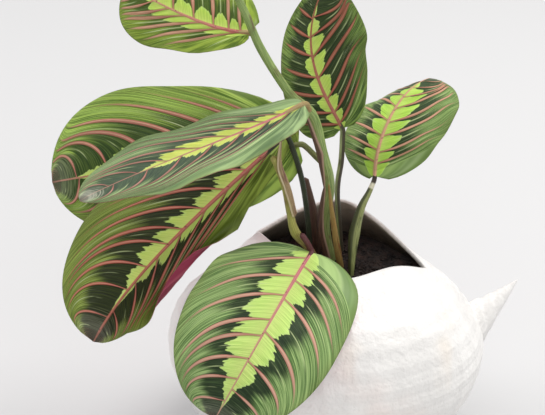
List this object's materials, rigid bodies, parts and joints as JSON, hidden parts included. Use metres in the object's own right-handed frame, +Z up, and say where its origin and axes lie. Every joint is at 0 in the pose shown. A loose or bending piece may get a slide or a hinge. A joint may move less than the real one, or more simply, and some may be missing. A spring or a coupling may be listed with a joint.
{
  "type": "potted prayer plant",
  "caption": "Red-veined prayer plant with patterned oval leaves on slender stems, in dark soil inside a bleached sea-snail shell.",
  "frame": {"origin": "centre of the flat spot under the shell, on the surface it stands on", "axes": "+Z up; the front of the plant, as pictured, faces -Y; +X to the right, towards the shell's spire"},
  "size_m": [0.2031, 0.1372, 0.2621],
  "materials": {
    "shell": "bleached sea shell, satin, with a faint pink and orange tint",
    "soil": "dark moist potting soil",
    "leaf": "soft satin leaf, green with a light band, dark blotches and red veins, pink below",
    "young_leaf": "young rolled leaf, pale green",
    "stem": "green plant stem with fine ribs and reddish joints",
    "dry_sheath": "dry papery sheath, brown",
    "brown_sheath": "pointed orange-brown sheath",
    "stub": "purplish brown sheath stub"
  },
  "bodies": {
    "root": {"shell_pot": "shell", "soil": "soil", "main_stem": "stem", "leaf_upper_left": "leaf", "leaf_back": "leaf", "leaf_right": "leaf", "leaf_left_back": "leaf", "leaf_left_front": "leaf", "leaf_left_low": "leaf", "leaf_front": "leaf", "leaf_rolled": "young_leaf", "front_stalk": "stem", "dry_sheath": "dry_sheath", "brown_sheath": "brown_sheath", "stub": "stub"}
  },
  "joints": []
}
